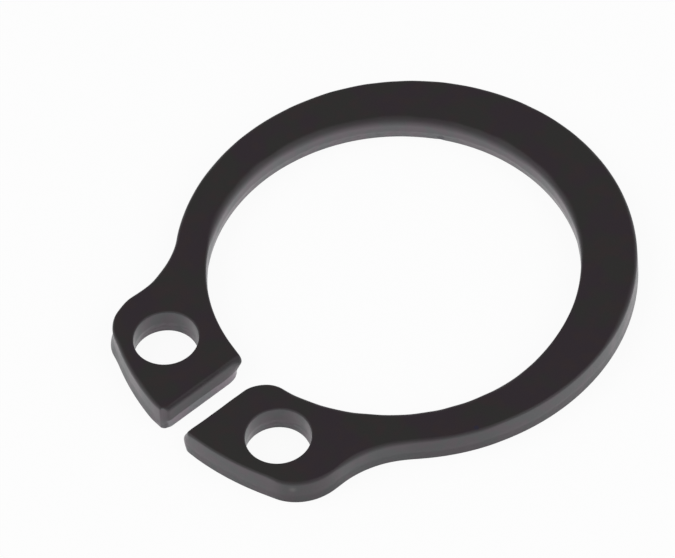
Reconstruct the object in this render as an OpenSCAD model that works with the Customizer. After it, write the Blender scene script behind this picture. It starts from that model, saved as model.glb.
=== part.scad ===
// Circlip retaining ring for a shaft groove, stamped from one flat strip of spring steel.
// The bore axis is Z, the underside lies on z = 0 and the gap between the lugs points to -Y.
// The upper edge is rolled all round by the stamping and the lower edge is crisp.
// Towards the underside, where the steel tore, the bore widens a little.
// The lugs mirror each other but for the corner beside the bore: sharp at -X, round at +X.

/* [Ring] */
// inside diameter of the free ring
bore_d = 12.9; // [11:0.1:15]
// thickness of the strip
thickness = 1; // [0.8:0.05:1.5]
// radial width of the ring opposite the gap, its widest place
beam_w = 2.12; // [1.6:0.02:2.6]
// radial width of the ring beside the gap, under the lugs
waist_w = 1.06; // [0.8:0.02:1.4]

/* [Lugs] */
// gap between the two lugs
gap_w = 1.14; // [0.6:0.02:2]
// width of one lug, from the gap to its flank
lug_w = 4.64; // [4:0.02:5.2]
// height of the lugs, from the bore to their outer end
lug_h = 3.54; // [3:0.02:4.2]
// radius of the outer lug corners
corner_r = 1.8; // [1.2:0.05:2.1]
// radius of the hollow between lug and rim
neck_r = 3.6; // [1.5:0.1:4.5]
// radius of the corner beside the bore, on the lug at -X
sharp_heel_r = 0.19; // [0.18:0.01:0.6]
// radius of the corner beside the bore, on the lug at +X
round_heel_r = 1.1; // [0.4:0.05:1.3]
// radius of the lug corner at the mouth of the gap
toe_r = 0.19; // [0.18:0.01:0.4]

/* [Plier holes] */
// diameter of the two holes, which sit in the middle of the lug's width
hole_d = 2.22; // [1.7:0.02:2.4]
// how far the holes sit outwards of the middle of the lug's height
hole_out = 0.12; // [-0.1:0.01:0.2]

/* [Edges] */
// radius of the rolled edge around the upper face
edge_r = 0.16; // [0.06:0.01:0.18]
// radius of the rolled edge around the plier holes
hole_edge_r = 0.06; // [0.03:0.01:0.12]
// height of the torn band that widens the bore, from the underside
tear_h = 0.4; // [0.2:0.05:0.6]
// how far the torn band reaches outwards at the underside
tear_out = 0.1; // [0.02:0.01:0.2]

/* [Hidden] */
$fn = 96;

bore_r = bore_d / 2;
rim_r = bore_r + (beam_w + waist_w) / 2;
rim_shift = (beam_w - waist_w) / 2;
lug_reach = bore_r + lug_h;
half_gap = gap_w / 2;
half_lug = half_gap + lug_w;
hole_x = half_gap + lug_w / 2;
hole_y = -leg(bore_r + lug_h / 2 + hole_out, hole_x);

// the roll is never wider than the sharpest corner
roll = min(edge_r, 0.9 * toe_r, 0.9 * sharp_heel_r, 0.9 * round_heel_r);
// the plain core stops this far inside the outline, so that its corners stay behind the roll
inset = max([
    for (r = [toe_r, sharp_heel_r, round_heel_r])
        r < 2 * roll ? r + roll : r - 0.7 * (r - roll)
]);
// width of the band that carries the rolled edge
band = inset + roll;
// cutting shapes run this far past what they cut
past = thickness;
// longer than any stretch of the ring
far = 3 * lug_reach;

// centres of the outline's arcs on the side of +X
rim_c = [0, rim_shift];
corner_c = [half_lug - corner_r, -leg(lug_reach - corner_r, half_lug - corner_r)];
// a hollow as large as the limit would take up the whole flank
drop = rim_shift - corner_c[1];
neck_limit = (drop * drop + half_lug * half_lug - rim_r * rim_r) / (2 * (rim_r - half_lug));
neck = min(neck_r, 0.95 * neck_limit);
neck_c = [half_lug + neck, rim_shift - leg(rim_r + neck, half_lug + neck)];
toe_c = [half_gap + toe_r, -leg(lug_reach - toe_r, half_gap + toe_r)];

// far points of the lines on which neighbouring bands meet
neck_in = rim_c + (rim_r - band - past) * unit(neck_c - rim_c);
flank_in = [half_lug - band - past, neck_c[1]];
corner_out = (lug_reach + past) * unit(corner_c);
toe_out = (lug_reach + past) * unit(toe_c);
toe_in = toe_c + band * [1, 1];

function leg(long, short) = sqrt(long * long - short * short);
function unit(v) = v / norm(v);
function mirrored(v) = [-v[0], v[1]];

// centre of a heel of radius r and the two points towards which its neighbours' ends run
function heel_c(r) = [half_gap + r, -leg(bore_r + r, half_gap + r)];
function heel_in(r) = heel_c(r) + band * [1, -1];
function heel_out(r) = (bore_r - past) * unit(heel_c(r));

// sets a band down in a coarse and a fine step, so that neighbouring arcs meet exactly
module set_at(p) {
    coarse = [round(p[0] * 10) / 10, round(p[1] * 10) / 10];
    translate(coarse)
        translate(p - coarse)
            children();
}

// section of a band, its rolled edge at the upper right
module round_section(from, to) {
    difference() {
        translate([from, 0])
            square([to - from, thickness]);
        difference() {
            translate([to - roll, thickness - roll])
                square(roll + past);
            translate([to - roll, thickness - roll])
                circle(roll);
        }
    }
}

// section of a band, its rolled edge at the upper left
module hollow_section(from, to) {
    translate([from + to, 0])
        mirror([1, 0])
            round_section(from, to);
}

// band along an arc that bulges out of the material
module round_band(centre, r) {
    set_at(centre)
        rotate_extrude()
            round_section(max(r - band, 0), r);
}

// band along an arc that cuts into the material
module hollow_band(centre, r) {
    set_at(centre)
        rotate_extrude()
            hollow_section(r, r + band);
}

// straight band along Y, its face turned to +X at x
module flank_band(x) {
    translate([x, 0, 0])
        rotate([90, 0, 0])
            linear_extrude(height = 2 * far, center = true)
                round_section(-band, 0);
}

// straight band along Y, its face turned to -X at x
module gap_band(x) {
    translate([x, 0, 0])
        rotate([90, 0, 0])
            linear_extrude(height = 2 * far, center = true)
                hollow_section(0, band);
}

// upright block over an outline in plan, taller than the strip
module block(outline) {
    translate([0, 0, -past])
        linear_extrude(height = thickness + 2 * past)
            polygon(outline);
}

module rim_edge() {
    difference() {
        round_band(rim_c, rim_r);
        block([
            neck_in, neck_c, [far, neck_c[1]], [far, -far],
            [-far, -far], [-far, neck_c[1]], mirrored(neck_c), mirrored(neck_in)
        ]);
    }
}

module bore_edge() {
    difference() {
        hollow_band([0, 0], bore_r);
        block([
            heel_out(round_heel_r),
            heel_c(round_heel_r),
            heel_in(round_heel_r),
            mirrored(heel_in(sharp_heel_r)),
            mirrored(heel_c(sharp_heel_r)),
            mirrored(heel_out(sharp_heel_r))
        ]);
    }
}

module neck_edge() {
    intersection() {
        hollow_band(neck_c, neck);
        block([neck_c, neck_in, flank_in]);
    }
}

module flank_edge() {
    intersection() {
        flank_band(half_lug);
        block([
            flank_in,
            [half_lug + past, neck_c[1]],
            [half_lug + past, corner_c[1]],
            [flank_in[0], corner_c[1]]
        ]);
    }
}

module corner_edge() {
    intersection() {
        round_band(corner_c, corner_r);
        block([corner_c, [half_lug + past, corner_c[1]], corner_out]);
    }
}

module lug_end_edge() {
    intersection() {
        round_band([0, 0], lug_reach);
        block([corner_c, corner_out, toe_out, toe_c, toe_in]);
    }
}

module toe_edge() {
    intersection() {
        round_band(toe_c, toe_r);
        block([toe_c, toe_out, [half_gap - past, toe_c[1] - past], [half_gap - past, toe_c[1]]]);
    }
}

// gap face of a lug whose heel has radius r
module gap_edge(r) {
    centre = heel_c(r);
    intersection() {
        gap_band(half_gap);
        block([
            [half_gap - past, toe_c[1]], toe_c, toe_in,
            heel_in(r), centre, [half_gap - past, centre[1]]
        ]);
    }
}

module heel_edge(r) {
    centre = heel_c(r);
    intersection() {
        round_band(centre, r);
        block([
            centre,
            [half_gap - past, centre[1]],
            [half_gap - past, centre[1] + past],
            heel_out(r)
        ]);
    }
}

// one lug in plan, inset from its real outline
module lug_plan() {
    difference() {
        intersection() {
            circle(lug_reach - inset);
            polygon([
                [half_gap, -bore_r + band],
                neck_in,
                neck_c,
                [half_lug - inset, neck_c[1]],
                [half_lug - inset, corner_c[1]],
                corner_c,
                corner_out,
                [half_gap, -far]
            ]);
        }
        translate(neck_c)
            circle(neck + inset);
    }
    translate(corner_c)
        circle(corner_r - inset);
}

// full-height middle of the ring
module core() {
    linear_extrude(height = thickness)
        difference() {
            union() {
                translate(rim_c)
                    circle(rim_r - inset);
                lug_plan();
                mirror([1, 0])
                    lug_plan();
            }
            circle(bore_r + inset);
            translate([-half_gap - inset, -far])
                square([gap_w + 2 * inset, far]);
        }
}

module lug_edges(heel_r) {
    neck_edge();
    flank_edge();
    corner_edge();
    lug_end_edge();
    toe_edge();
    gap_edge(heel_r);
    heel_edge(heel_r);
}

// cone that widens the bore below the torn band's upper border
module bore_tear() {
    slope = tear_out / tear_h;
    translate([0, 0, -past])
        cylinder(
            h = thickness + past,
            r1 = bore_r + slope * (tear_h + past),
            r2 = bore_r + slope * (tear_h - thickness)
        );
}

// through hole with a rolled edge at the top
module plier_hole() {
    translate([0, 0, -past])
        cylinder(h = thickness + 2 * past, d = hole_d);
    difference() {
        translate([0, 0, thickness - hole_edge_r])
            cylinder(h = hole_edge_r + past, r = hole_d / 2 + hole_edge_r);
        rotate_extrude()
            translate([hole_d / 2 + hole_edge_r, thickness - hole_edge_r])
                circle(hole_edge_r);
    }
}

module retaining_ring() {
    color([0.19, 0.18, 0.19])
        difference() {
            union() {
                core();
                rim_edge();
                bore_edge();
                lug_edges(round_heel_r);
                mirror([1, 0, 0])
                    lug_edges(sharp_heel_r);
            }
            bore_tear();
            for (x = [-hole_x, hole_x])
                translate([x, hole_y, 0])
                    plier_hole();
        }
}

retaining_ring();
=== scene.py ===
# %% [markdown]
# # A circlip in Blender
# The object is a retaining ring for a 14 mm shaft. It is stamped out of flat
# spring steel, hardened, and given a dark phosphate coat that is oiled.
# There is only one piece, so all of its character lies in three places: the
# soft edge that the press rolls down around the upper face, the paler walls
# that the punch has sheared, and the fine crystals of the coat.
# This lesson builds those three from the drawing's own sizes. The one ring in
# the photograph also has wear and chance in it, such as a worn heel and walls
# that differ from place to place, and those are added on the way.

import math

import bmesh
import bpy
import numpy as np
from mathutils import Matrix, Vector, noise
from mathutils.geometry import delaunay_2d_cdt


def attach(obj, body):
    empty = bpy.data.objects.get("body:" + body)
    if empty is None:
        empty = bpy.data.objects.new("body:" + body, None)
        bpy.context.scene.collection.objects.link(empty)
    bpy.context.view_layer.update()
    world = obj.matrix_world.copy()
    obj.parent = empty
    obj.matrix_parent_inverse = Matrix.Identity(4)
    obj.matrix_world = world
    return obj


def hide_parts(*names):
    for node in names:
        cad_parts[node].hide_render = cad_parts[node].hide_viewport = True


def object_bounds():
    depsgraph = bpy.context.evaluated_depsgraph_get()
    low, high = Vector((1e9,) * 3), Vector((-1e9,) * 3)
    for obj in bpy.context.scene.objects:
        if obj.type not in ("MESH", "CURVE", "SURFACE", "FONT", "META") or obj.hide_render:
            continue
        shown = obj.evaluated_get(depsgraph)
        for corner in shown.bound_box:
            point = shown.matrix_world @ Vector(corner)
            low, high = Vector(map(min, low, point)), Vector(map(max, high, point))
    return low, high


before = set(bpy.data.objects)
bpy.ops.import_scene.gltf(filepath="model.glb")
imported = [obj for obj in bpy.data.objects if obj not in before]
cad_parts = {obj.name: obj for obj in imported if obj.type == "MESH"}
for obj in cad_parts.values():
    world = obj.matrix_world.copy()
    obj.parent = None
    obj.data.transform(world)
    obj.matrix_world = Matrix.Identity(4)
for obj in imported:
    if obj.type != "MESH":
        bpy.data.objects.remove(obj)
drawing_low, drawing_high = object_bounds()
mm_in_m = 1000
print("drawing, mm:", [round(mm_in_m * v, 2) for v in (*drawing_low, *drawing_high)])

# %% [markdown]
# ## The outline
# A stamping is a flat shape pushed through a die, so the flat shape comes
# first. On the real ring it is a chain of arcs that run into each other without
# a corner: rim, hollow neck, lug flank, lug corner, lug end, toe, gap face,
# heel and bore.
# A curve object could hold the chain, but here each point also needs to know
# which way is outwards, because the walls and the rolled edge are built from
# that direction. So the arcs are worked out as points with their normals.
# All the sizes are in millimetres, as on the drawing.

# %% Sizes of the ring
bore_radius = 6.45
thickness = 1.0
rim_radius = 8.04
rim_centre = (0.0, 0.53)
lug_reach = 9.99
half_gap = 0.57
half_lug = 5.21
neck_radius = 3.6
corner_radius = 1.8
toe_radius = 0.19
sharp_heel = 0.19
round_heel = 1.1
hole_radius = 1.11
hole_centre = (2.89, -7.8233)


def leg(long_side, short_side):
    return math.sqrt(long_side**2 - short_side**2)


neck_centre = (
    half_lug + neck_radius,
    rim_centre[1] - leg(rim_radius + neck_radius, half_lug + neck_radius),
)
corner_centre = (
    half_lug - corner_radius,
    -leg(lug_reach - corner_radius, half_lug - corner_radius),
)
toe_centre = (half_gap + toe_radius, -leg(lug_reach - toe_radius, half_gap + toe_radius))
print("lug corner turns about", [round(v, 3) for v in corner_centre])

# %% Points and outward directions along an arc or a line
# the largest step between two points, in mm, and the largest turn
spacing = 0.062
finest_turn = math.radians(6)


def arc(centre, radius, start, end, bulge):
    """Points from one angle to another; bulge is 1 with the steel inside the arc, -1 outside."""
    start, end = math.radians(start), math.radians(end)
    sweep = abs(end - start)
    steps = max(int(sweep * radius / spacing), int(sweep / finest_turn)) + 1
    turn = np.linspace(start, end, steps + 1)
    ray = np.stack([np.cos(turn), np.sin(turn)], 1)
    return np.asarray(centre) + radius * ray, bulge * ray


def line(start, end, outwards):
    """Points of a straight stretch, all facing the same way."""
    start, end = np.asarray(start, float), np.asarray(end, float)
    steps = int(np.linalg.norm(end - start) / spacing) + 1
    share = np.linspace(0, 1, steps + 1)[:, None]
    return start + share * (end - start), np.tile(np.asarray(outwards, float), (steps + 1, 1))


def direction(point, seen_from=(0, 0)):
    return math.degrees(math.atan2(point[1] - seen_from[1], point[0] - seen_from[0]))


rim_to_neck = direction(neck_centre, rim_centre)


def half_chain(heel_radius):
    """The named stretches from the rim's middle to the bore's middle, on the side of +X.

    The plain numbers are the angles, in degrees, at which the wall's character changes."""
    heel_centre = (
        half_gap + heel_radius,
        -leg(bore_radius + heel_radius, half_gap + heel_radius),
    )
    corner_end, toe_start = direction(corner_centre), direction(toe_centre)
    heel_end = direction(heel_centre)
    return [
        ("far rim", arc(rim_centre, rim_radius, 90, 18, 1)),
        ("rim", arc(rim_centre, rim_radius, 18, -20, 1)),
        ("rim foot", arc(rim_centre, rim_radius, -20, rim_to_neck, 1)),
        ("neck", arc(neck_centre, neck_radius, rim_to_neck + 180, 168, -1)),
        ("neck foot", arc(neck_centre, neck_radius, 168, 180, -1)),
        ("flank", line((half_lug, neck_centre[1]), (half_lug, corner_centre[1]), (1, 0))),
        ("shoulder", arc(corner_centre, corner_radius, 0, -28, 1)),
        ("corner", arc(corner_centre, corner_radius, -28, corner_end, 1)),
        ("end", arc((0, 0), lug_reach, corner_end, toe_start, 1)),
        ("toe", arc(toe_centre, toe_radius, toe_start, -180, 1)),
        ("gap", line((half_gap, toe_centre[1]), (half_gap, heel_centre[1]), (-1, 0))),
        ("heel", arc(heel_centre, heel_radius, 180, direction((0, 0), heel_centre), 1)),
        ("near bore", arc((0, 0), bore_radius, heel_end, -38, -1)),
        ("bore", arc((0, 0), bore_radius, -38, 6, -1)),
        ("side bore", arc((0, 0), bore_radius, 6, 52, -1)),
        ("far bore", arc((0, 0), bore_radius, 52, 90, -1)),
    ]


# %% Close the chain
# Each stretch begins where the last one ends, so its first point is dropped.
def joined(chain, side):
    points = np.concatenate([p[1:] for name, (p, n) in chain])
    normals = np.concatenate([n[1:] for name, (p, n) in chain])
    return points, normals, [side + name for name, (p, n) in chain for _ in p[1:]]


right_points, right_normals, right_names = joined(half_chain(round_heel), "right ")
left_points, left_normals, left_names = joined(half_chain(sharp_heel), "left ")
mirror = np.array([-1.0, 1.0])
rim_top = np.array([[rim_centre[0], rim_centre[1] + rim_radius]])
outline = np.concatenate([right_points, left_points[-2::-1] * mirror, rim_top])
outwards = np.concatenate([right_normals, left_normals[-2::-1] * mirror, [[0.0, 1.0]]])
names = right_names + left_names[-2::-1] + ["right far rim"]
hole_points = 132
hole_turn = np.linspace(0, 2 * math.pi, hole_points, endpoint=False)
hole_ray = np.stack([np.cos(hole_turn), np.sin(hole_turn)], 1)
loops = [(outline, outwards, names)]
# on the ring in the photograph the holes sit this little off the middle of their lugs
hole_slip = {-1: (-0.015, 0.015), 1: (-0.035, 0.065)}
for side in (-1, 1):
    centre = np.array([side * hole_centre[0], hole_centre[1]]) + hole_slip[side]
    loops.append((centre + hole_radius * hole_ray, -hole_ray, ["hole"] * hole_points))
print("points in the outline:", len(outline), "and in each hole:", hole_points)

# %% [markdown]
# ## The stamped wall
# When a punch goes through steel it leaves four things on the wall, always in
# the same order. First the upper edge is dragged down into a soft roll. Below it
# lies a smooth band where the punch has sheared the steel. Then the rest of
# the thickness tears. In the bore the tear leans back into the steel, so that
# it is wider at the underside, and on the lugs it stands out a little. The lower
# edge is crisp, apart from the trace of rounding that tumbling gives it.
# None of this is the same all round: on the ring in the photograph the roll is
# large along most of the bore and small at the holes and the lug ends, and the
# two lugs differ. So each stretch of the outline has a name and a character, and
# where two stretches meet, one character runs gently into the other.
# The wall is made as rows of points, each one set back from the outline by its
# own depth. A bevel modifier would give the roll, but not the tear below it,
# and the torn band's rough surface should be real shape, not only shading.

# %% Character of the wall in each stretch
# In mm: width of the roll, its height, height of the torn band, how far that leans
# back into the steel at the underside, how far the upper edge stands back. Then how
# pale the sheared band and the torn band are: partly the steel's own paleness and
# partly painted light from the white table, most of all in the torn band low on the
# wall. A name without a side is used for the lug and the half ring at +X, and for
# any stretch that has no line for "left".
character = {
    "far rim": (0.155, 0.165, 0.38, 0.00, 0.048, 0.30, 0.30),
    "rim": (0.08, 0.11, 0.38, 0.00, 0.050, 0.22, 0.10),
    "left rim": (0.16, 0.16, 0.38, 0.00, 0.055, 0.30, 0.20),
    "rim foot": (0.08, 0.16, 0.38, -0.01, 0.035, 0.15, 0.05),
    "left rim foot": (0.14, 0.14, 0.38, 0.00, 0.060, 0.30, 0.20),
    "neck": (0.10, 0.21, 0.38, -0.03, 0.000, 0.20, 0.15),
    "left neck": (0.12, 0.14, 0.38, 0.00, 0.075, 0.40, 0.30),
    "neck foot": (0.10, 0.21, 0.38, -0.03, 0.000, 0.20, 0.15),
    "left neck foot": (0.12, 0.14, 0.38, -0.02, 0.120, 0.45, 0.35),
    "flank": (0.06, 0.10, 0.38, -0.04, 0.005, 0.00, 0.00),
    "left flank": (0.10, 0.13, 0.38, -0.04, 0.110, 0.50, 0.40),
    "corner": (0.09, 0.15, 0.36, -0.03, 0.030, 0.03, 0.00),
    "left corner": (0.10, 0.13, 0.36, -0.13, 0.010, 0.40, 0.40),
    "shoulder": (0.09, 0.15, 0.36, -0.03, 0.030, 0.03, 0.00),
    "left shoulder": (0.10, 0.13, 0.36, -0.08, 0.080, 0.45, 0.40),
    "end": (0.06, 0.10, 0.36, -0.01, 0.100, 0.25, 0.20),
    "left end": (0.12, 0.17, 0.36, -0.05, 0.050, 0.30, 0.40),
    "toe": (0.09, 0.14, 0.46, 0.00, 0.060, 0.50, 0.60),
    "left toe": (0.05, 0.07, 0.38, 0.00, 0.130, 0.45, 0.60),
    "gap": (0.12, 0.26, 0.33, -0.05, 0.000, 0.15, 2.50),
    "heel": (0.15, 0.24, 0.40, 0.05, 0.000, 0.50, 0.50),
    "left heel": (0.10, 0.50, 0.36, 0.03, 0.000, 0.00, 1.20),
    "near bore": (0.20, 0.26, 0.38, 0.070, 0.000, 0.65, 0.75),
    "left near bore": (0.08, 0.12, 0.38, 0.060, 0.000, 0.60, 0.60),
    "bore": (0.22, 0.27, 0.38, 0.080, 0.000, 0.65, 0.75),
    "left bore": (0.21, 0.35, 0.36, 0.060, 0.000, 0.70, 0.80),
    "side bore": (0.07, 0.11, 0.38, 0.080, -0.012, 0.65, 0.75),
    "left side bore": (0.22, 0.37, 0.36, 0.055, 0.000, 0.64, 0.75),
    "far bore": (0.20, 0.26, 0.38, 0.070, 0.000, 0.64, 0.75),
    "left far bore": (0.22, 0.38, 0.36, 0.065, 0.000, 0.60, 0.72),
    "hole": (0.06, 0.06, 0.42, 0.01, 0.006, 0.50, 0.80),
}
# over how many mm along the outline one character runs into the next
blend_lengths = {
    "left toe": 0.05,
    "left gap": 0.08,
    "right toe": 0.25,
    "left heel": 0.25,
    "right bore": 1.1,
    "right side bore": 1.1,
    "right far bore": 1.1,
}
usual_blend = 0.30


def character_of(name):
    """A stretch's own line where it has one, or else the line of its name without the side."""
    return character.get(name, character[name.split(" ", 1)[-1]])


def characters(points, names):
    """The wall's character at every point, blended along the outline between stretches."""
    values = np.array([character_of(name) for name in names])
    reach = np.array([blend_lengths.get(name, usual_blend) for name in names])
    steps = np.linalg.norm(np.roll(points, -1, 0) - points, axis=1)
    position = np.concatenate([[0], np.cumsum(steps)[:-1]])
    total = steps.sum()
    apart = np.abs(position[:, None] - position[None, :])
    apart = np.minimum(apart, total - apart)
    weight = np.exp(-((apart / reach[:, None]) ** 2)) * steps[None, :]
    return weight @ values / weight.sum(1)[:, None]


# radius of the tumbled lower edge, half the step between the torn and the sheared band
tumbled = 0.02
half_step = 0.012
# rows of points in each part of the wall
tumbled_steps = 3
torn_steps = 10
sheared_steps = 6
roll_steps = 10


def wall_rows(border, roll_width, roll_height):
    """(depth behind the outline, height) of a point's rows, from the underside upwards."""
    rows = []
    for k in range(tumbled_steps + 1):
        turn = k / tumbled_steps * math.pi / 2
        rows.append((tumbled * (1 - math.sin(turn)), tumbled * (1 - math.cos(turn))))
    for height in np.linspace(tumbled, border - half_step, torn_steps + 1)[1:]:
        rows.append((0.0, height))
    for height in np.linspace(border + half_step, thickness - roll_height, sheared_steps + 1):
        rows.append((0.0, height))
    for k in range(1, roll_steps + 1):
        turn = k / roll_steps * math.pi / 2
        depth = roll_width * (1 - math.cos(turn))
        rows.append((depth, thickness - roll_height * (1 - math.sin(turn))))
    return rows


print("rows up the wall:", len(wall_rows(0.4, 0.15, 0.15)))

# %% Where the steel tore
# depth of the step above the torn band and of the band's grain, and how fine that is
tear_step = 0.001
tear_grain = 0.008
coarse_grain, fine_grain = 9.0, 21.0
# the walls of both holes lean a little in the photograph, perhaps because their punch
# stood off, so the lower edges are shifted
hole_shift = np.array([-0.02, -0.08])
# how far the border wanders, in slow and in quick waves, and how fine these are
slow_wander, quick_wander = 0.035, 0.02
slow_scale, quick_scale = 0.7, 2.6


def torn_border(point, height):
    """Height at which the sheared band ends; it wanders along the wall."""
    place = Vector((point[0], point[1], 0.0))
    slow, quick = noise.noise(place * slow_scale), noise.noise(place * quick_scale)
    return height + slow_wander * slow + quick_wander * quick


def torn_depth(place, share):
    """The torn band starts with a fine step and its surface is grainy."""
    coarse, fine = noise.noise(place * coarse_grain), noise.noise(place * fine_grain)
    grain = 0.5 + 0.5 * coarse + 0.35 * fine
    return share * (tear_step + tear_grain * max(grain, 0))


def ramp(value, low, high):
    """0 below the low value, 1 above the high one, and a smooth rise in between."""
    share = min(max((value - low) / (high - low), 0.0), 1.0)
    return share * share * (3 - 2 * share)


print("torn band at the bore's right side, mm:", round(torn_border((bore_radius, 0), 0.38), 3))

# %% [markdown]
# ## Small damage
# The ring in the photograph isn't spotless. The lower edge of the bore has a
# small nick, and the corner of the lug at +X a bright rubbed spot. The sharp
# heel of the other lug is worn away at its foot and drawn out to a tip higher
# up, and the toe at the gap's mouth bulges low down. Each is a place on the
# ring and a push in plan that fades with the distance from that place. Rubbed
# ones are also painted, so that the coat can be thinner there. Two dark stains
# are only paint: one in the nick and one on the upper edge of the rim.

# %% Nicks, worn corners, rubbed spots and stains
# place, how far it reaches, the push in plan, how bare it is rubbed
damage = [
    # nick in the bore
    ((-3.55, 5.38, 0.08), 0.14, (-0.018, 0.027), 0.0),
    # rubbed spot on the lug corner
    ((4.58, -8.65, 0.66), 0.13, (-0.006, 0.008), 1.0),
    # foot and tip of the sharp heel
    ((-0.62, -6.50, 0.05), 0.42, (-0.100, -0.100), 0.0),
    ((-0.60, -6.46, 0.72), 0.28, (0.080, 0.010), 0.0),
    # bulge of the toe
    ((0.60, -9.75, 0.36), 0.50, (-0.250, 0.000), 0.0),
]
# how fast a push fades, and how many reaches away it is nothing
fading = 1.6
end_of_reach = 2.5
# place, size and strength of dark stains
stains = [
    ((-3.53, 5.42, 0.14), 0.15, 0.80),
    ((7.165, -2.756, 1.0), 0.09, 0.90),
]


def damage_at(point):
    """How far a point is pushed in plan, and how bare it is rubbed."""
    push, bare = np.zeros(2), 0.0
    for place, reach, pushed, rubbed in damage:
        apart = math.dist(point, place) / reach
        if apart < end_of_reach:
            push += math.exp(-apart * apart * fading) * np.array(pushed)
            bare = max(bare, rubbed * math.exp(-apart * apart * fading))
    return push, bare


print("places of damage:", len(damage), " stains:", len(stains))

# %% [markdown]
# ## The mesh
# Every loop of the outline, the ring's own and one for each plier hole, gets
# its rows of points, and neighbouring rows are joined by four-sided faces. The
# two flat faces are filled with a triangulation that keeps the loops as fixed
# borders and spreads extra points in between, so that no face is long and
# thin and the face can carry the shallow waviness of rolled strip.
# Each point also stores what kind of surface it is on. The materials read
# these values later, so that the finish follows the shape exactly.

# %% Build walls and rolled edges
mesh_builder = bmesh.new()
wall_share = mesh_builder.verts.layers.float.new("wall")
pale_and_table_light_share = mesh_builder.verts.layers.float.new("pale_and_table_light")
bare_share = mesh_builder.verts.layers.float.new("bare")
along_edge = mesh_builder.verts.layers.float.new("along")
# an extra row this far in on the underside keeps the lower edge's shading crisp
guard_step = 0.03
# how much of the roll's width comes and goes along the outline, how fast, and the
# height of the slice of the noise that it follows
roll_wander = 0.30
roll_scale = 1.6
roll_slice = 9.0
# how the wall's paler colour comes in over the roll as it tilts, a painted
# brightening of the roll, and the torn band at its border and at its foot
roll_fade = 0.75
border_fade = (-0.02, 0.08)
foot_fade = (-0.001, 0.03)
# nothing reaches past the drawing's own box, and this much is kept from it
box_margin = 0.002
plan_low = mm_in_m * np.array(drawing_low[:2]) + box_margin
plan_high = mm_in_m * np.array(drawing_high[:2]) - box_margin
borders = {"top": [], "bottom": []}


def add_point(spot, wall, pale_and_table_light, bare, along):
    """A point of the mesh, given in mm, with the values that the material reads."""
    point = mesh_builder.verts.new(Vector(spot) / mm_in_m)
    point[wall_share] = wall
    point[pale_and_table_light_share] = pale_and_table_light
    point[bare_share] = bare
    point[along_edge] = along
    return point


def join_rows(lower, upper):
    """Four-sided faces between two closed rows of points."""
    count = len(lower)
    for k in range(count):
        after = (k + 1) % count
        face = mesh_builder.faces.new((lower[after], lower[k], upper[k], upper[after]))
        face.smooth = True


def build_wall(points, normals, names):
    """All the rows of one loop, joined, from the underside to the upper face."""
    shift = hole_shift if names[0] == "hole" else np.zeros(2)
    kinds = characters(points, names)
    lengths = np.linalg.norm(np.roll(points, -1, 0) - points, axis=1)
    along = np.concatenate([[0], np.cumsum(lengths)[:-1]])
    columns = []
    for point, normal, kind, distance in zip(points, normals, kinds, along):
        roll_width, roll_height, tear_height, lean, stand_back, sheared_pale_and_table_light, torn_pale_and_table_light = kind
        border = torn_border(point, tear_height)
        wander = noise.noise(Vector((point[0], point[1], roll_slice)) * roll_scale)
        roll_width *= 1 + roll_wander * wander
        column = []
        rows = wall_rows(border, roll_width, roll_height)
        for depth, height in [(rows[0][0] + guard_step, 0.0), *rows]:
            place = Vector((point[0], point[1], height))
            # 1 on the upright wall, falling to 0 over the roll and on the underside; over the
            # roll this paints the roll's brightening as it tilts
            straight = min((thickness - height) / roll_height, 1.0) ** roll_fade
            if depth > tumbled and height == 0:
                straight = 0.0
            # 1 in the torn band, and the share of the way down from its border
            torn = ramp(border - height, *border_fade)
            below = max(border - height, 0) / border
            back = depth + lean * below + stand_back * height / thickness
            back += torn_depth(place, torn * ramp(height, *foot_fade))
            push, bare = damage_at(place)
            spot = np.clip(point - normal * back + shift * below + push, plan_low, plan_high)
            # how pale the wall is: partly the sheared and torn steel's own paleness, partly
            # painted light from the white table
            pale_and_table_light = torn * torn_pale_and_table_light + (1 - torn) * sheared_pale_and_table_light
            at_height = (spot[0], spot[1], height)
            column.append(add_point(at_height, straight, straight * pale_and_table_light, bare, distance))
        columns.append(column)
    layers = [list(layer) for layer in zip(*columns)]
    for lower, upper in zip(layers, layers[1:]):
        join_rows(lower, upper)
    borders["bottom"].append(layers[0])
    borders["top"].append(layers[-1])


for points, normals, names in loops:
    build_wall(points, normals, names)
print("points in the walls:", len(mesh_builder.verts))

# %% Fill the two flat faces
# distance between the spread points, and the shares of it between two rows and
# between a point and the loops
face_spacing = 0.3
row_share = 0.866
clear_share = 0.45
# the grid of points is this much larger than the lugs and the rim
side_margin = 3.5
top_margin = 1
# depth and fineness of the strip's waviness; the two faces take slices this far apart
wave_depth = 0.005
wave_scale = 0.45
wave_slices = 7
# points nearer than this are one point, and nothing is further than that
same_place = 1e-7
far_away = 1e9


def inside(places, loop):
    """Which places lie inside a closed loop: a ray from them crosses it an odd number of times."""
    start, end = loop, np.roll(loop, -1, 0)
    found = np.zeros(len(places), bool)
    for (x1, y1), (x2, y2) in zip(start, end):
        if y1 == y2:
            continue
        crosses = (places[:, 1] < y1) != (places[:, 1] < y2)
        found ^= crosses & (places[:, 0] < x1 + (places[:, 1] - y1) * (x2 - x1) / (y2 - y1))
    return found


def clear_of(places, loop, distance):
    """Which places keep a distance from every point of a loop."""
    nearest = np.full(len(places), far_away)
    for x, y in loop:
        nearest = np.minimum(nearest, np.hypot(places[:, 0] - x, places[:, 1] - y))
    return nearest > distance


def in_steel(places, edges):
    """Which places lie inside the ring's own loop and outside both holes."""
    ring_edge, *hole_edges = edges
    found = inside(places, ring_edge)
    for edge in hole_edges:
        found &= ~inside(places, edge)
    return found


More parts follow.
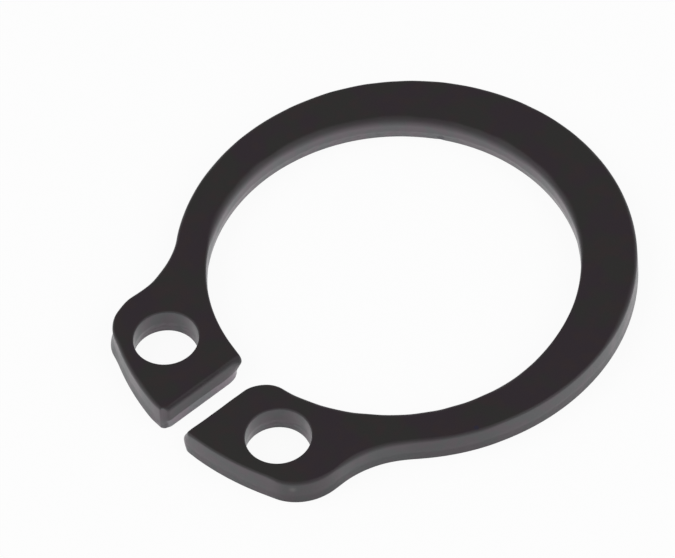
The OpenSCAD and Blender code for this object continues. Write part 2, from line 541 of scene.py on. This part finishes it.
def spread_points(edges):
    """Evenly spread places between the loops, in rows that are shifted by half a step in turn."""
    across, up = np.meshgrid(
        np.arange(-half_lug - side_margin, half_lug + side_margin, face_spacing),
        np.arange(-lug_reach, rim_radius + top_margin, face_spacing * row_share),
    )
    across = across + (np.arange(len(across)) % 2)[:, None] * face_spacing / 2
    spread = np.stack([across.ravel(), up.ravel()], 1)
    keep = in_steel(spread, edges)
    for edge in edges:
        keep &= clear_of(spread, edge, face_spacing * clear_share)
    return spread[keep]


def fill(layers, height, facing):
    """Triangles over one flat face; facing is 1 for the upper one and -1 for the underside."""
    edges = [np.array([[v.co.x * mm_in_m, v.co.y * mm_in_m] for v in layer]) for layer in layers]
    spread = spread_points(edges)
    fixed, seams, points = [], [], []
    for edge, layer in zip(edges, layers):
        first = len(fixed)
        fixed += [tuple(p) for p in edge]
        points += layer
        seams += [(first + k, first + (k + 1) % len(edge)) for k in range(len(edge))]
    for x, y in spread:
        wave = noise.noise(Vector((x * wave_scale, y * wave_scale, height * wave_slices)))
        hollow = wave_depth * (0.5 + 0.5 * wave)
        points.append(add_point((x, y, height - facing * hollow), 0.0, 0.0, 0.0, 0.0))
    corners = [Vector(p) for p in fixed] + [Vector(p) for p in spread]
    _, _, triangles, kept_corners, _, _ = delaunay_2d_cdt(corners, seams, [], 0, same_place, True)
    sources = [ids[0] for ids in kept_corners]
    places = np.array([list(corners[k]) for k in sources])
    middles = np.array([places[list(t)].mean(0) for t in triangles])
    for triangle, belongs in zip(triangles, in_steel(middles, edges)):
        if belongs:
            order = triangle if facing > 0 else reversed(triangle)
            face = mesh_builder.faces.new([points[sources[k]] for k in order])
            face.smooth = True
    return len(spread)


print("points spread over the upper face:", fill(borders["top"], thickness, 1))
print("points spread over the underside:", fill(borders["bottom"], 0.0, -1))

# %% Make the piece and check that it is closed
bmesh.ops.recalc_face_normals(mesh_builder, faces=mesh_builder.faces)
open_edges = sum(1 for e in mesh_builder.edges if len(e.link_faces) != 2)
triangle_count = sum(len(f.verts) - 2 for f in mesh_builder.faces)
volume_mm3 = mesh_builder.calc_volume() * mm_in_m**3
ring_mesh = bpy.data.meshes.new("stamped_ring")
mesh_builder.to_mesh(ring_mesh)
mesh_builder.free()
ring = bpy.data.objects.new("stamped_ring", ring_mesh)
bpy.context.scene.collection.objects.link(ring)
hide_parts("retaining_ring")
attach(ring, "root")
print("open edges:", open_edges, " triangles:", triangle_count)
print("volume, mm3:", round(volume_mm3, 2))

# %% [markdown]
# ## The finish
# The coat is zinc or manganese phosphate: a layer of tiny dark crystals that
# holds oil. It is matte, nearly black, and never quite one colour, since the
# bath leaves faint warmer and greener clouds. On the sheared walls the steel
# was smoother when it went into the bath, so the coat is thinner, paler and a
# little glossier, with fine upright lines from the punch. The torn band is
# paler still in places, and frayed.
# Part of the walls' paleness, most of all low down in the torn band, is painted
# light from the white table at their foot.
# One material does all of it. It starts from the coat of the flat faces and
# then blends towards a dark and a pale wall finish with the values stored in
# the mesh: "wall" is how upright the surface is, and the pale value how pale
# its band is, painted table light included.

# %% Helpers for wiring shader nodes
# they work in the tree that nodes and links belong to
finish = bpy.data.materials.new("phosphated_spring_steel")
finish.use_nodes = True
nodes, links = finish.node_tree.nodes, finish.node_tree.links
nodes.clear()


def add_node(kind, settings=None, **inputs):
    """A shader node; an input is a number, a colour or another node's output.

    Inputs go by their name, with _ for a space, or as i0, i1 ... by their place."""
    node = nodes.new(kind)
    for name, value in (settings or {}).items():
        setattr(node, name, value)
    for name, value in inputs.items():
        by_place = name[0] == "i" and name[1:].isdigit()
        socket = node.inputs[int(name[1:]) if by_place else name.replace("_", " ")]
        if isinstance(value, bpy.types.NodeSocket):
            links.new(value, socket)
        else:
            socket.default_value = value
    return node


def from_display(red, green, blue):
    """A colour as it is read off a screen, in the linear values that a shader needs."""
    shown = (red, green, blue)
    linear = (v / 12.92 if v <= 0.04045 else ((v + 0.055) / 1.055) ** 2.4 for v in shown)
    return (*linear, 1.0)


def combined(operation, first, second):
    return add_node("ShaderNodeMath", {"operation": operation}, i0=first, i1=second).outputs[0]


def stretched(vector, factors):
    settings = {"operation": "MULTIPLY"}
    return add_node("ShaderNodeVectorMath", settings, i0=vector, i1=factors).outputs[0]


def mix_colours(share, low, high):
    return add_node("ShaderNodeMix", {"data_type": "RGBA"}, i0=share, i6=low, i7=high).outputs[2]


def mix_values(share, low, high):
    return add_node("ShaderNodeMix", {"data_type": "FLOAT"}, i0=share, i2=low, i3=high).outputs[0]


def speckle(vector, scale, detail=2.0, roughness=0.5):
    """Noise from about 0.2 to 0.8."""
    return add_node(
        "ShaderNodeTexNoise",
        Vector=vector,
        Scale=scale,
        Detail=detail,
        Roughness=roughness,
    ).outputs[0]


def between(value, low, high, out_low=0.0, out_high=1.0):
    """A smooth change from one result to another while the value goes from low to high."""
    return add_node(
        "ShaderNodeMapRange",
        {"interpolation_type": "SMOOTHSTEP"},
        i0=value,
        i1=low,
        i2=high,
        i3=out_low,
        i4=out_high,
    ).outputs[0]


def stored(name):
    return add_node("ShaderNodeAttribute", {"attribute_name": name}).outputs["Fac"]


# %% Where on the ring: millimetres, walls, torn bands and rubbed spots
place_m = add_node("ShaderNodeTexCoord").outputs["Object"]
place_mm = add_node(
    "ShaderNodeVectorMath", {"operation": "SCALE"}, i0=place_m, i3=mm_in_m
).outputs[0]
on_wall, pale_and_table_light, on_bare, along = (stored(name) for name in ("wall", "pale_and_table_light", "bare", "along"))
height_mm = add_node("ShaderNodeSeparateXYZ", i0=place_mm).outputs[2]
# the wall unrolled flat: along the outline, and up
unrolled = add_node("ShaderNodeCombineXYZ", i0=along, i1=height_mm).outputs[0]
print("nodes that tell the place:", len(nodes))

# %% Tones, as read off a screen
plum_black = from_display(0.152, 0.114, 0.142)
green_black = from_display(0.138, 0.134, 0.127)
brown_black = from_display(0.167, 0.123, 0.128)
crystal_grey = from_display(0.175, 0.152, 0.165)
dark_plum, dark_grey = from_display(0.300, 0.276, 0.292), from_display(0.285, 0.286, 0.292)
# the pale wall tones hold painted light from the white table as well as the steel's own paleness
pale_and_table_lit_plum, pale_and_table_lit_grey = from_display(0.615, 0.575, 0.605), from_display(0.580, 0.585, 0.597)
stain_blue = from_display(0.12, 0.11, 0.19)
bare_steel = from_display(0.62, 0.61, 0.60)
print("darkest tone, linear:", [round(v, 4) for v in green_black[:3]])

# %% Colour of the coat and of the walls
clouds = speckle(place_mm, 0.60)
patches = speckle(place_mm, 1.7)
crystals = speckle(place_mm, 34.0, 3.0, 0.6)
face_colour = mix_colours(between(clouds, 0.42, 0.58), plum_black, green_black)
face_colour = mix_colours(between(patches, 0.45, 0.72, 0.0, 0.7), face_colour, brown_black)
face_colour = mix_colours(between(crystals, 0.50, 0.78, 0.0, 0.45), face_colour, crystal_grey)
wall_patches = between(patches, 0.42, 0.60)
dark_wall = mix_colours(wall_patches, dark_plum, dark_grey)
# the pale wall finish: paler steel with painted light from the white table
pale_and_table_lit_wall = mix_colours(wall_patches, pale_and_table_lit_plum, pale_and_table_lit_grey)
# in the torn band the pale share comes and goes in flecks
flecks = between(speckle(stretched(unrolled, (3.4, 11.0, 1.0)), 1.0, 3.0), 0.36, 0.60, 0.32, 0.62)
in_tear = between(height_mm, 0.34, 0.44, 0.5, 0.0)
frayed_and_table_light = combined("MULTIPLY", pale_and_table_light, mix_values(in_tear, 0.5, flecks))
wall_colour = mix_colours(frayed_and_table_light, dark_wall, pale_and_table_lit_wall)
colour = mix_colours(on_wall, face_colour, wall_colour)

# %% Stains and rubbed spots
for stain_place, stain_size, strength in stains:
    apart = add_node(
        "ShaderNodeVectorMath", {"operation": "DISTANCE"}, i0=place_mm, i1=stain_place
    ).outputs["Value"]
    stain = between(apart, 0.5 * stain_size, 1.3 * stain_size, strength, 0.0)
    colour = mix_colours(stain, colour, stain_blue)
colour = mix_colours(on_bare, colour, bare_steel)
print("nodes with the colour:", len(nodes))

# %% Gloss and fine relief
face_gloss = between(crystals, 0.3, 0.7, 0.50, 0.64)
wall_gloss = between(patches, 0.3, 0.7, 0.29, 0.36)
roughness = mix_values(on_wall, face_gloss, wall_gloss)
# heights of the relief, in mm
crystal_height, pebble_height, line_height = 0.0030, 0.0035, 0.0035
punch_lines = speckle(stretched(unrolled, (26.0, 1.2, 1.0)), 1.0)
on_sheared = between(height_mm, 0.38, 0.46)
lines = combined("MULTIPLY", punch_lines, combined("MULTIPLY", on_sheared, on_wall))
lines = combined("MULTIPLY", lines, line_height)
pebbles = combined("MULTIPLY", speckle(place_mm, 9.0), pebble_height)
relief = combined("MULTIPLY", crystals, crystal_height)
relief = combined("ADD", relief, pebbles)
relief = combined("ADD", relief, lines)
# the bump works in metres, and the smoother walls get half the relief
relief_m = combined("MULTIPLY", relief, mix_values(on_wall, 0.001, 0.0005))
bump = add_node("ShaderNodeBump", Strength=1.0, Distance=1.0, Height=relief_m).outputs[0]
print("nodes with the relief:", len(nodes))

# %% Put the finish together
surface = add_node(
    "ShaderNodeBsdfPrincipled",
    Base_Color=colour,
    Roughness=roughness,
    Metallic=mix_values(on_bare, 0.0, 0.8),
    Normal=bump,
)
surface.inputs["IOR"].default_value = 1.5
surface.inputs["Specular IOR Level"].default_value = 0.3
add_node("ShaderNodeOutputMaterial", Surface=surface.outputs[0])
ring_mesh.materials.append(finish)
print("nodes in the finish:", len(nodes))

# %% [markdown]
# ## The table and the light
# The ring lies on a plain white table in soft light. The table is a simple
# plane. What the camera and the reflections see of it is lifted to plain
# white, and what remains of its own shading keeps the ring's faint shadow.
# Most of the light comes from the whole room. Two large lamps, one on the left
# and one on the right, brighten the walls that face the camera. They stand away
# from the direction that the upper face mirrors into the camera, so that the
# face stays dark.

# %% Table
table_mesh = bpy.data.meshes.new("table")
half_table = 1.5
# a hair below the ring, so that the two surfaces don't lie in each other
table_height = -0.00001
# how much of the table is lifted to plain white
lift = 0.92
paper_white, plain_white = (0.90, 0.90, 0.90, 1.0), (1.0, 1.0, 1.0, 1.0)
corners = [(-1, -1), (1, -1), (1, 1), (-1, 1)]
table_mesh.from_pydata(
    [(x * half_table, y * half_table, table_height) for x, y in corners], [], [(0, 1, 2, 3)]
)
table = bpy.data.objects.new("table", table_mesh)
bpy.context.scene.collection.objects.link(table)
table_finish = bpy.data.materials.new("white_table")
table_finish.use_nodes = True
nodes, links = table_finish.node_tree.nodes, table_finish.node_tree.links
nodes.clear()
rays = add_node("ShaderNodeLightPath")
seen = combined("MAXIMUM", rays.outputs["Is Camera Ray"], rays.outputs["Is Glossy Ray"])
seen = combined("MAXIMUM", seen, rays.outputs["Is Transmission Ray"])
lifted = combined("MULTIPLY", seen, lift)
paper = add_node("ShaderNodeBsdfDiffuse", Color=paper_white).outputs[0]
white = add_node("ShaderNodeEmission", Color=plain_white, Strength=1.0).outputs[0]
table_look = add_node("ShaderNodeMixShader", i0=lifted, i1=paper, i2=white).outputs[0]
add_node("ShaderNodeOutputMaterial", Surface=table_look)
table_mesh.materials.append(table_finish)
print("table, m across:", 2 * half_table)

# %% Room light and lamps
world = bpy.data.worlds.new("studio")
bpy.context.scene.world = world
world.use_nodes = True
room = world.node_tree.nodes["Background"]
room_colour, room_strength = (0.86, 0.86, 0.87, 1.0), 0.55
room.inputs["Color"].default_value = room_colour
room.inputs["Strength"].default_value = room_strength
# what the camera itself sees beyond the table is plain white
nodes, links = world.node_tree.nodes, world.node_tree.links
backdrop = add_node("ShaderNodeBackground", Color=plain_white, Strength=1.0).outputs[0]
seen = add_node("ShaderNodeLightPath").outputs["Is Camera Ray"]
backed = add_node("ShaderNodeMixShader", i0=seen, i1=room.outputs[0], i2=backdrop).outputs[0]
links.new(backed, nodes["World Output"].inputs["Surface"])


def soft_lamp(name, place, size, power):
    """A square lamp that faces the ring."""
    lamp = bpy.data.lights.new(name, "AREA")
    lamp.shape = "SQUARE"
    lamp.size = size
    lamp.energy = power
    holder = bpy.data.objects.new(name, lamp)
    holder.location = place
    holder.rotation_euler = Vector(place).to_track_quat("Z", "Y").to_euler()
    bpy.context.scene.collection.objects.link(holder)


soft_lamp("lamp_left", place=(-0.20, -0.34, 0.34), size=0.45, power=1.0)
soft_lamp("lamp_right", place=(0.38, 0.16, 0.30), size=0.45, power=0.9)

# %% [markdown]
# ## The camera
# The photograph was taken from far away with a long lens, since the far rim is
# hardly smaller than the near one. The place, the tilt and the lens below were
# worked out from the outline of the bore, the rim and both holes, and they put
# the ring where it is in the photograph.

# %% Camera
# focal length and picture width in pixels
focal_px, picture_px = 4000, 675
camera_data = bpy.data.cameras.new("camera")
camera_data.sensor_fit = "HORIZONTAL"
camera_data.sensor_width = 36.0
camera_data.lens = focal_px / picture_px * camera_data.sensor_width
camera_data.clip_start = 0.01
camera_data.clip_end = 20.0
camera = bpy.data.objects.new("camera", camera_data)
camera.location = (0.06656966, -0.05492106, 0.10815883)
camera.rotation_euler = [math.radians(v) for v in (38.5690276, 2.7576655, 48.3250272)]
bpy.context.scene.collection.objects.link(camera)
bpy.context.scene.camera = camera
bpy.context.scene.view_settings.view_transform = "Standard"
print("camera distance, mm:", round(camera.location.length * 1000))
